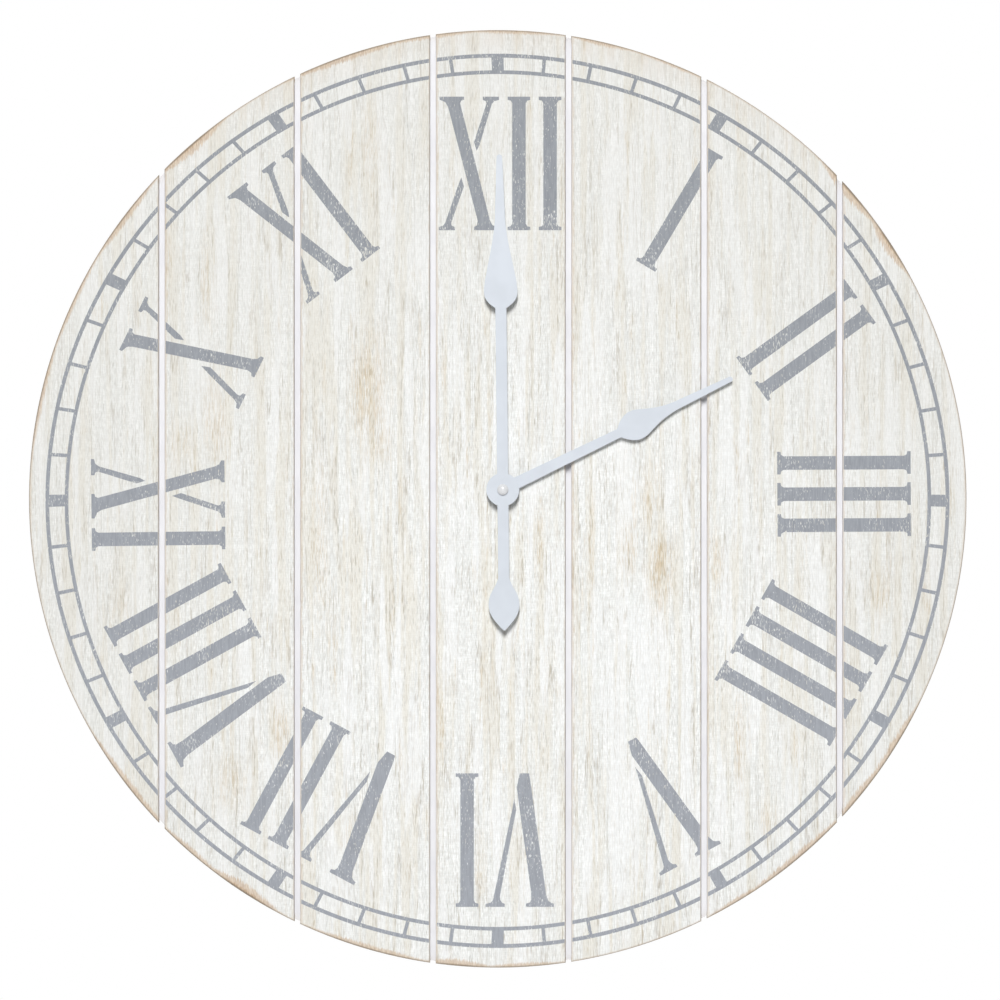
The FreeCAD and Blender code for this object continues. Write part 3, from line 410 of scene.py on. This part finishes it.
def hand_material():
    g = Graph("hand_paint")
    powder = g.noise(g.scaled(4.0, 4.0, 4.0), 2.0)
    sheen = g.noise(g.scaled(0.05, 0.05, 0.05), 2.0)
    colour = g.mix(g.step(sheen, 0.3, 0.7), srgb(207, 213, 221), srgb(212, 218, 226))
    return g.finish(colour, g.step(powder, 0.3, 0.7, 0.34, 0.46), powder, 0.012, Specular_IOR_Level=0.4)


def coil_material():
    g = Graph("copper_winding")
    turns = g.math("SINE", g.times(g.z, 2 * math.pi / 0.35))
    stray = g.noise(g.scaled(0.6, 0.6, 2.5), 2.0)
    colour = g.mix(g.step(g.add(turns, stray), -0.5, 1.2), srgb(120, 52, 22), srgb(206, 122, 74))
    return g.finish(colour, g.step(stray, 0.3, 0.7, 0.25, 0.4), turns, 0.08, Metallic=0.85)


def circuit_material():
    g = Graph("circuit_board")
    tracks = g.cells(g.scaled(0.5, 0.0, 0.5), "DISTANCE_TO_EDGE")
    fibre = g.noise(g.scaled(3.0, 3.0, 3.0), 3.0)
    board = g.mix(g.step(fibre, 0.35, 0.65), srgb(150, 112, 58), srgb(170, 130, 72))
    colour = g.mix(g.step(tracks, 0.06, 0.12), srgb(196, 156, 92), board)
    return g.finish(colour, g.step(fibre, 0.3, 0.7, 0.35, 0.5), tracks, 0.05)


def cell_material():
    """A plain battery jacket: dark body and a copper-coloured band at the positive end, with no print."""
    g = Graph("battery_jacket")
    low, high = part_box("battery_cell")
    share = g.math("MULTIPLY_ADD", g.x, MM / (high.x - low.x), -low.x / (high.x - low.x))
    film = g.noise(g.scaled(0.25, 1.2, 1.2), 3.0)
    body = g.mix(g.step(film, 0.35, 0.65), srgb(38, 44, 58), srgb(46, 54, 70))
    band = g.mix(g.step(film, 0.35, 0.65), srgb(186, 128, 76), srgb(204, 146, 92))
    colour = g.mix(g.step(share, 0.745, 0.755), body, band)
    return g.finish(colour, g.step(film, 0.3, 0.7, 0.22, 0.34), film, 0.01, Metallic=0.35, Coat_Weight=0.4)


MATERIALS = {
    "whitewashed_wood": plank_material(),
    "white_board": board_material(),
    "bare_pine": pine_material(),
    "zinc_steel": speckled("zinc_plate", (176, 178, 176), (206, 207, 202), (0.28, 0.42), 0.5, 0.015, 1.0),
    "black_plastic": speckled("black_plastic", (30, 30, 32), (42, 42, 45), (0.48, 0.62), 0.35, 0.05),
    "white_plastic": speckled("acetal", (226, 224, 214), (238, 236, 228), (0.32, 0.42), 0.8, 0.01,
                              Subsurface_Weight=0.1, Subsurface_Scale=0.001),
    "brass": speckled("brass", (196, 160, 86), (216, 184, 112), (0.22, 0.36), 0.5, 0.01,
                      1.0, (0.2, 2.0, 0.2)),
    "rubber": speckled("rubber", (28, 28, 28), (40, 40, 40), (0.65, 0.8), 0.4, 0.04),
    "magnet": speckled("ferrite", (66, 66, 70), (86, 86, 90), (0.45, 0.6), 0.3, 0.03, 0.6),
    "stator_iron": speckled("iron_sheet", (150, 150, 152), (182, 182, 184), (0.3, 0.45), 0.5, 0.02,
                            1.0, (0.15, 1.0, 2.0)),
    "copper_wire": coil_material(),
    "circuit": circuit_material(),
    "chip_resin": speckled("chip_resin", (22, 22, 22), (34, 34, 34), (0.3, 0.45), 0.3, 0.02),
    "crystal_can": speckled("crystal_can", (196, 196, 194), (222, 222, 220), (0.15, 0.28), 0.6, 0.01,
                            1.0, (0.2, 2.0, 2.0)),
    "contact_steel": speckled("contact_steel", (190, 188, 178), (216, 214, 204), (0.2, 0.34), 0.5, 0.01,
                              1.0, (2.0, 2.0, 0.2)),
    "cell_jacket": cell_material(),
    "cell_metal": speckled("cell_metal", (196, 196, 190), (222, 222, 216), (0.2, 0.32), 0.6, 0.01, 1.0),
    "hand_paint": hand_material(),
    "nut_enamel": speckled("white_enamel", (222, 223, 225), (232, 233, 235), (0.16, 0.24), 0.9, 0.008,
                           Specular_IOR_Level=0.6, Coat_Weight=0.5),
}
PAINT = paint_material()


# ---------------------------------------------------------------- pieces

def new_piece(name, mesh, material, body="root"):
    """Makes an object of a bmesh, gives it its finish and lets it ride on a body."""
    data = bpy.data.meshes.new(name)
    bmesh.ops.recalc_face_normals(mesh, faces=mesh.faces)
    mesh.to_mesh(data)
    mesh.free()
    piece = bpy.data.objects.new(name, data)
    bpy.context.scene.collection.objects.link(piece)
    data.materials.append(material)
    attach(piece, body)
    return piece


# ---------------------------------------------------------------- planks

SIDE_STEP = 5.0         # spacing of outline points
HOLE_POINTS = 48
EDGE_RINGS = ((0.0, 0.0), (0.0, 0.86), (0.25, 0.95), (0.75, 1.0))     # inset in mm, share of the depth


def plank_edges(number):
    """Left and right limits of a plank; the outer planks run out to the rim."""
    left = SHIFT + (number - 1 - PLANKS / 2) * PITCH + GAP / 2
    right = SHIFT + (number - PLANKS / 2) * PITCH - GAP / 2
    return (-RIM if number == 1 else left), (RIM if number == PLANKS else right)


def spaced(low, high, step):
    count = max(1, round(abs(high - low) / step))
    return [low + (high - low) * k / count for k in range(count)]


def plank_outline(number):
    """Points round a plank, clockwise from its top left corner."""
    left, right = plank_edges(number)
    left_end, right_end = math.asin(left / RIM), math.asin(right / RIM)

    def arc(start, end, side):
        return [(RIM * math.sin(a), side * RIM * math.cos(a)) for a in spaced(start, end, SIDE_STEP / RIM)]

    def straight(edge, side):
        tall = math.sqrt(RIM ** 2 - edge ** 2)
        return [(edge, side * z) for z in spaced(tall, -tall, SIDE_STEP)] if tall else []

    over, under = arc(left_end, right_end, 1), arc(right_end, left_end, -1)
    return over + straight(right, 1) + under + straight(left, -1)


def inset(points, distance, wobble):
    """An outline moved inwards, with each point's own extra wear."""
    moved = []
    for k, (x, z) in enumerate(points):
        before, after = points[k - 1], points[(k + 1) % len(points)]
        along = Vector((after[0] - before[0], after[1] - before[1])).normalized()
        normal = Vector((along.y, -along.x))
        shift = normal * (distance * wobble[k])
        moved.append((x + shift.x, z + shift.y))
    return moved


def ring_faces(mesh, outer, inner):
    for k in range(len(outer)):
        after = (k + 1) % len(outer)
        mesh.faces.new((outer[k], outer[after], inner[after], inner[k]))


def add_ring(mesh, points, depth):
    return [mesh.verts.new(at_dial(x, depth, z)) for x, z in points]


def fill(mesh, loops):
    """Fills the flat face inside the first loop and round the others."""
    verts = [v for loop in loops for v in loop]
    flat = [[Vector((v.co.x, v.co.z, 0)) for v in loop] for loop in loops]
    for corners in tessellate_polygon(flat):
        mesh.faces.new([verts[c] for c in corners])


def make_plank(number):
    """A plank with softened, unevenly worn front edges; the middle one has the arbor's hole."""
    chance = random.Random(number)
    outline = plank_outline(number)
    worn = [0.8 + 0.4 * chance.random() for _ in outline]
    for _ in range(len(outline) // 9):
        k = chance.randrange(len(outline))
        worn[k] = 1.6 + 0.9 * chance.random()
    mesh = bmesh.new()
    rings = []
    for distance, share in EDGE_RINGS:
        depth = BACK + (FRONT - BACK) * share
        points = inset(outline, distance, worn) if distance else outline
        rings.append(add_ring(mesh, points, depth))
    holes = []
    if number == MIDDLE:
        turns = [2 * math.pi * k / HOLE_POINTS for k in range(HOLE_POINTS)]
        edge = [(ARBOR[0] + SHAFT_HOLE * math.cos(a), ARBOR[1] + SHAFT_HOLE * math.sin(a)) for a in turns]
        holes = [add_ring(mesh, edge, depth) for depth in (BACK, FRONT)]
        ring_faces(mesh, *holes)
    for before, after in zip(rings, rings[1:]):
        ring_faces(mesh, before, after)
    fill(mesh, [rings[0]] + holes[:1])
    fill(mesh, [rings[-1]] + holes[1:])
    piece = new_piece(f"plank_{number}_wood", mesh, MATERIALS["whitewashed_wood"])
    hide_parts(f"plank_{number}")


for plank in range(1, PLANKS + 1):
    make_plank(plank)


# ---------------------------------------------------------------- painted numerals and minute track

HEIGHT = 108.5              # of the numerals
SERIF = 2.7                 # thickness of a serif
PAINT_PROUD = 0.06          # paint stands this far out of the wood
PAINT_DEEP = 0.25
EDGE_BARE = 0.9             # no paint on a plank's worn edge
PRINT_CENTRE = (0.0, -1.4)  # of the numerals' ring
SMALLEST_FACE = 1e-12       # in square metres; a smaller one is dropped


def letter_i():
    """Outline of an I from its serif's left edge: x right, y down, in millimetres."""
    wide, stroke, bracket = 18.4, 11.0, 4.6
    left, right = (wide - stroke) / 2, (wide + stroke) / 2
    corner = 1.2
    top = [(0, 0), (wide, 0), (wide, SERIF), (right + corner, SERIF + 0.5), (right, SERIF + bracket - 2.0)]
    foot = [(right, HEIGHT - SERIF - bracket + 2.0), (right + corner, HEIGHT - SERIF - 0.5),
            (wide, HEIGHT - SERIF), (wide, HEIGHT), (0, HEIGHT), (0, HEIGHT - SERIF),
            (left - corner, HEIGHT - SERIF - 0.5), (left, HEIGHT - SERIF - bracket + 2.0)]
    back = [(left, SERIF + bracket - 2.0), (left - corner, SERIF + 0.5), (0, SERIF)]
    return [top + foot + back], wide


def letter_v():
    thick = [(0, 0), (22.8, 0), (22.8, 2.6), (19.6, 3.6), (18.4, 6.0), (18.6, 12.0), (30.3, 97.0),
             (27.8, HEIGHT), (20.4, HEIGHT), (19.6, 105.0), (6.3, 9.4), (4.6, 5.0), (2.6, 3.5), (0, 2.6)]
    thin = [(40.0, 0), (55.6, 0), (55.6, 2.4), (51.4, 3.4), (49.6, 5.4), (33.9, 79.2), (32.3, 87.8),
            (30.7, 78.8), (44.0, 8.4), (43.6, 5.6), (42.2, 3.4), (40.0, 2.4)]
    return [thick, thin], 55.6


def letter_x():
    thick = [(0.6, 0), (20.5, 0), (20.5, 2.6), (18.2, 3.2), (17.3, 5.4), (41.7, 100.9), (43.4, 104.2),
             (46.5, 105.8), (46.5, HEIGHT), (28.7, HEIGHT), (28.7, 105.8), (31.0, 104.6), (31.6, 100.9),
             (7.5, 8.4), (5.4, 4.6), (0.6, 2.4)]
    upper = [(35.7, 0), (48.9, 0), (48.9, 2.6), (45.0, 3.6), (43.0, 6.1), (33.0, 39.6), (30.7, 43.9),
             (28.6, 36.8), (38.7, 5.6), (38.2, 3.6), (35.7, 2.6)]
    lower = [(18.2, 65.6), (20.4, 72.9), (10.0, 102.6), (10.4, 104.8), (13.1, 105.9), (13.1, HEIGHT),
             (0, HEIGHT), (0, 105.9), (3.4, 104.9), (5.2, 102.4), (15.7, 72.0)]
    return [thick, upper, lower], 48.9


LETTERS = {"I": letter_i, "V": letter_v, "X": letter_x}
# Space between two letters' serifs
SPACES = {"II": 6.9, "IV": 6.0, "VI": 5.8, "IX": 7.3, "XI": 7.0}
# Numeral, clock angle of its middle, distance from the centre, and the angle that its top points to
NUMERALS = (
    ("I", 31.9, 279.5, 30.6), ("II", 62.5, 282.5, 54.0), ("III", 88.9, 281.5, 89.7),
    ("IIII", 118.1, 279.5, 120.0), ("V", 151.7, 277.0, 152.0), ("VI", 178.8, 276.0, 180.0),
    ("VII", 209.8, 276.5, 208.3), ("VIII", 241.0, 276.0, 241.2), ("IX", 269.4, 276.0, 269.3),
    ("X", 295.8, 276.0, 296.1), ("XI", 325.0, 275.5, 322.7), ("XII", 0.4, 274.0, 0.0),
)


def numeral_outlines(text, place, distance, top_angle):
    """A numeral's outlines on the dial, each as (x, z) points."""
    shapes, start = [], 0.0
    for number, letter in enumerate(text):
        if number:
            start += SPACES[text[number - 1] + letter]
        outlines, width = LETTERS[letter]()
        shapes += [[(x + start, y) for x, y in outline] for outline in outlines]
        start += width
    place, top_angle = math.radians(place), math.radians(top_angle)
    middle = Vector(PRINT_CENTRE) + distance * Vector((math.sin(place), math.cos(place)))
    up = Vector((math.sin(top_angle), math.cos(top_angle)))
    right = Vector((up.y, -up.x))
    corner = middle - right * (start / 2) + up * (HEIGHT / 2)
    return [[corner + right * x - up * y for x, y in shape] for shape in shapes]


def clip(points, limit, keep_right):
    """The part of a convex outline on one side of an upright line."""
    kept = []
    for k, point in enumerate(points):
        after = points[(k + 1) % len(points)]
        inside = (point.x >= limit) == keep_right
        after_inside = (after.x >= limit) == keep_right
        if inside:
            kept.append(point)
        if inside != after_inside:
            share = (limit - point.x) / (after.x - point.x)
            kept.append(point.lerp(after, share))
    return kept


def paint_piece(name, convex_outlines):
    """A thin coat of paint, cut at the gaps between the planks."""
    mesh = bmesh.new()
    for outline in convex_outlines:
        for number in range(1, PLANKS + 1):
            left, right = plank_edges(number)
            part = clip(clip(outline, left + EDGE_BARE, True), right - EDGE_BARE, False)
            if len(part) > 2:
                face = mesh.faces.new(add_ring(mesh, part, FRONT - PAINT_PROUD))
                if face.calc_area() < SMALLEST_FACE:
                    mesh.faces.remove(face)
    bmesh.ops.remove_doubles(mesh, verts=mesh.verts, dist=0.002 * MM)
    bmesh.ops.dissolve_degenerate(mesh, dist=0.001 * MM, edges=mesh.edges)
    bmesh.ops.delete(mesh, geom=[v for v in mesh.verts if not v.link_faces], context="VERTS")
    made = bmesh.ops.extrude_face_region(mesh, geom=mesh.faces[:], use_keep_orig=True)
    moved = [item for item in made["geom"] if isinstance(item, bmesh.types.BMVert)]
    bmesh.ops.translate(mesh, verts=moved, vec=(0, PAINT_DEEP * MM, 0))
    new_piece(name, mesh, PAINT)


for text, place, distance, top_angle in NUMERALS:
    triangles = []
    for outline in numeral_outlines(text, place, distance, top_angle):
        flat = [Vector((p.x, p.y, 0)) for p in outline]
        triangles += [[outline[c] for c in corners] for corners in tessellate_polygon([flat])]
    paint_piece("numeral_" + text, triangles)


# The track's two lines: middle, half width and half height, and thickness
OUTER_LINE = ((-0.25, -1.6), (365.8, 361.8), 3.1)
INNER_LINE = ((0.15, -1.3), (350.6, 348.1), 3.0)
MINUTE_WIDE = 2.85          # width of a minute's block
HOUR_WIDE = 9.75
TRACK_RADIUS = 358.0        # halfway between the lines


def on_line(line, side, angle):
    """A point on a track line's outer (+1) or inner (-1) edge."""
    (x, z), (wide, tall), thick = line
    wide, tall = wide + side * thick / 2, tall + side * thick / 2
    return Vector((x + wide * math.sin(angle), z + tall * math.cos(angle)))


def track_quads():
    """Four-cornered outlines of the two lines and of the minutes' blocks between them."""
    cuts = set()
    blocks = []
    for minute in range(60):
        middle = 2 * math.pi * minute / 60
        half = (HOUR_WIDE if minute % 5 == 0 else MINUTE_WIDE) / 2 / TRACK_RADIUS
        blocks.append((middle - half, middle + half))
        cuts.update((middle - half, middle, middle + half))
        cuts.update(middle + (2 * math.pi / 60) * share for share in (0.2, 0.35, 0.5, 0.65, 0.8))
    cuts = sorted(cuts)
    cuts.append(cuts[0] + 2 * math.pi)
    quads = []
    for start, end in zip(cuts, cuts[1:]):
        levels = [on_line(line, side, angle) for line in (INNER_LINE, OUTER_LINE) for side in (-1, 1)
                  for angle in (start, end)]
        bands = [levels[0:4], levels[4:8]]
        centre = (start + end) / 2
        if any(low < centre < high for low, high in blocks):
            bands.append(levels[2:6])
        quads += [[a, b, d, c] for a, b, c, d in bands]
    return quads


paint_piece("minute_track", track_quads())


# ---------------------------------------------------------------- pieces kept from the frame

CREASE = 35             # degrees; sharper edges are rounded


def refine(node, width, body="root", segments=2):
    """A copy of a node's mesh with its sharp edges rounded, standing for the node."""
    mesh = bmesh.new()
    mesh.from_mesh(frame["nodes"][node].data)
    bmesh.ops.remove_doubles(mesh, verts=mesh.verts, dist=0.001 * MM)
    bmesh.ops.dissolve_limit(mesh, angle_limit=math.radians(0.5), verts=mesh.verts, edges=mesh.edges)
    slot = SLOT_OF[node]
    piece = new_piece(node + "_finished", mesh, MATERIALS[slot], body)
    rounding = piece.modifiers.new("rounded_edges", "BEVEL")
    rounding.width = width * MM
    rounding.segments = segments
    rounding.limit_method = "ANGLE"
    rounding.angle_limit = math.radians(CREASE)
    rounding.use_clamp_overlap = True
    piece.data.shade_smooth()
    piece.data.set_sharp_from_angle(angle=math.radians(CREASE + 10))
    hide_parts(node)


SLOT_OF = {part["node"]: part["material_slot"] for part in frame["record"]["subparts"]}
for node, piece in frame["nodes"].items():
    piece.data.materials.clear()
    piece.data.materials.append(MATERIALS[SLOT_OF[node]])

refine("minute_hand", 0.30, "minute", 3)
refine("hour_hand", 0.34, "hour", 3)
refine("cap_nut", 0.12, "minute")
for batten in ("upper_batten", "lower_batten"):
    refine(batten, 0.80, segments=3)
for shell in ("movement_housing", "movement_back_cover"):
    refine(shell, 0.35)
refine("setting_knob", 0.20, "setting")
refine("keyhole_hanger", 0.25)


# ---------------------------------------------------------------- floor, light and camera

VIEW_WIDTH = 812.7          # width of the picture at the planks' front, in millimetres
LENS, SENSOR = 200.0, 36.0
AIM = (1.82, -0.93)         # middle of the picture on the dial
FLOOR_RADIUS = 2.8          # in metres, as the lights' places are
FLOOR_LEVEL = -0.92
WORLD_LIGHT = 0.07          # strength of the world as a light
WORLD_SEEN = 1.0            # and where the camera sees it


def add_light(name, place, aim, size, power):
    data = bpy.data.lights.new(name, "AREA")
    data.shape = "RECTANGLE"
    data.size, data.size_y = size
    data.energy = power
    light = bpy.data.objects.new(name, data)
    bpy.context.scene.collection.objects.link(light)
    light.location = place
    light.rotation_euler = (Vector(aim) - Vector(place)).to_track_quat("-Z", "Y").to_euler()


def add_floor():
    mesh = bmesh.new()
    bmesh.ops.create_circle(mesh, cap_ends=True, segments=96, radius=FLOOR_RADIUS)
    bmesh.ops.translate(mesh, verts=mesh.verts, vec=(0, 0, FLOOR_LEVEL))
    data = bpy.data.meshes.new("floor")
    mesh.to_mesh(data)
    mesh.free()
    floor = bpy.data.objects.new("floor", data)
    bpy.context.scene.collection.objects.link(floor)
    g = Graph("pale_floor")
    cloud = g.noise(g.scaled(0.01, 0.01, 0.01), 2.0)
    data.materials.append(g.finish(g.mix(cloud, srgb(232, 232, 232), srgb(238, 238, 238)), 0.8))


def add_world():
    world = bpy.data.worlds.new("studio")
    world.use_nodes = True
    tree = world.node_tree
    tree.nodes.clear()
    path = tree.nodes.new("ShaderNodeLightPath")
    shades = []
    for strength in (WORLD_LIGHT, WORLD_SEEN):
        shade = tree.nodes.new("ShaderNodeBackground")
        shade.inputs["Color"].default_value = (1.0, 1.0, 1.0, 1.0)
        shade.inputs["Strength"].default_value = strength
        shades.append(shade)
    blend = tree.nodes.new("ShaderNodeMixShader")
    output = tree.nodes.new("ShaderNodeOutputWorld")
    tree.links.new(path.outputs["Is Camera Ray"], blend.inputs[0])
    tree.links.new(shades[0].outputs[0], blend.inputs[1])
    tree.links.new(shades[1].outputs[0], blend.inputs[2])
    tree.links.new(blend.outputs[0], output.inputs["Surface"])
    bpy.context.scene.world = world


add_floor()
add_world()
add_light("key", (-0.20, -6.4, 3.0), (0.0, -0.034, -0.18), (0.8, 2.4), 470.0)
add_light("fill", (0.3, -3.2, -1.7), (0.0, -0.034, -0.40), (2.0, 0.8), 11.0)
add_light("back", (0.6, 2.2, 0.9), (0.0, 0.0, -0.18), (1.4, 1.4), 34.0)

camera_data = bpy.data.cameras.new("camera")
camera_data.lens, camera_data.sensor_width = LENS, SENSOR
camera_data.clip_start, camera_data.clip_end = 0.1, 50.0
camera = bpy.data.objects.new("camera", camera_data)
bpy.context.scene.collection.objects.link(camera)
target = at_dial(AIM[0], FRONT, AIM[1])
camera.location = target + Vector((0, -VIEW_WIDTH * MM * LENS / SENSOR, 0))
camera.rotation_euler = (math.radians(90), 0, 0)
bpy.context.scene.camera = camera
bpy.context.scene.view_settings.view_transform = "Standard"
